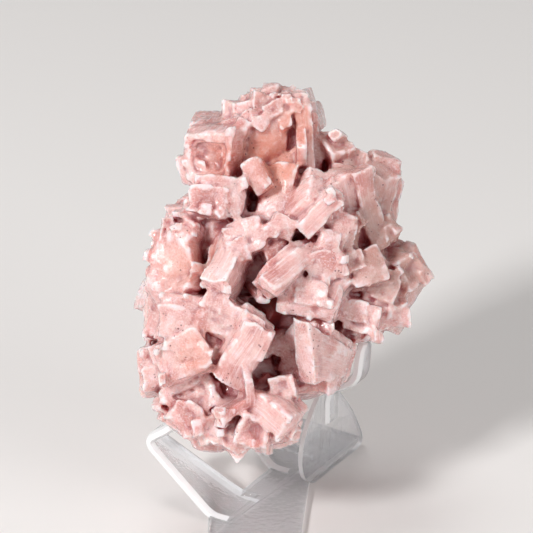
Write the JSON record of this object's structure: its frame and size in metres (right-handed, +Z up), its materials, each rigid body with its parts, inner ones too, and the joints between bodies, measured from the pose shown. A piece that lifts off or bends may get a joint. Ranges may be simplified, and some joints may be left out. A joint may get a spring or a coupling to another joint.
{
  "type": "halite cluster on an acrylic stand",
  "caption": "Cluster of pale pink halite crystals leaning back on a small clear acrylic display stand.",
  "frame": {"origin": "on the surface the stand rests on, under the middle of the object's box", "axes": "+Z up, +X to the right as seen from the front, +Y towards the back, where the cluster leans"},
  "size_m": [0.0724, 0.0786, 0.1025],
  "materials": {
    "halite": "translucent pale pink salt, waxy to glassy on fresh faces",
    "clear_acrylic": "clear polished acrylic with flame polished edges"
  },
  "bodies": {
    "root": {"halite_cluster": "halite", "acrylic_stand": "clear_acrylic"}
  },
  "joints": []
}
